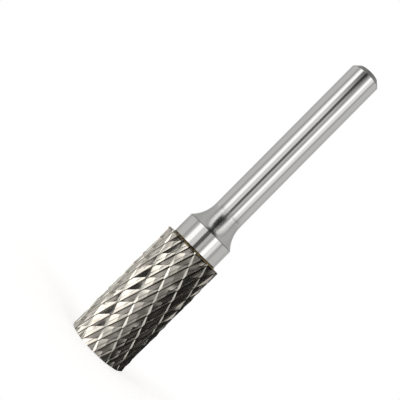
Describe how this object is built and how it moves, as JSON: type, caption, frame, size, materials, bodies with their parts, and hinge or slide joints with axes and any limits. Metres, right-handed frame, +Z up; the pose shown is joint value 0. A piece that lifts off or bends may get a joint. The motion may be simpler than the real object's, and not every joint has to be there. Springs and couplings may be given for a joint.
{
  "type": "cylindrical burr",
  "caption": "Cylindrical double-cut carbide burr with a square plain end, brazed to a steel shank with a collar and a concave neck.",
  "frame": {"origin": "centre of the flat end face of the cutting head, on which the burr stands", "axes": "+Z up the axis from the head to the free end of the shank; +X is the side that faces the reader of the picture"},
  "size_m": [0.0126, 0.0126, 0.0716],
  "materials": {
    "carbide": "ground, sintered grey",
    "braze": "as run, slightly dull",
    "shank_steel": "centreless ground, bright"
  },
  "bodies": {
    "root": {"cutting_head": "carbide", "braze_joint": "braze", "shank": "shank_steel"}
  },
  "joints": []
}
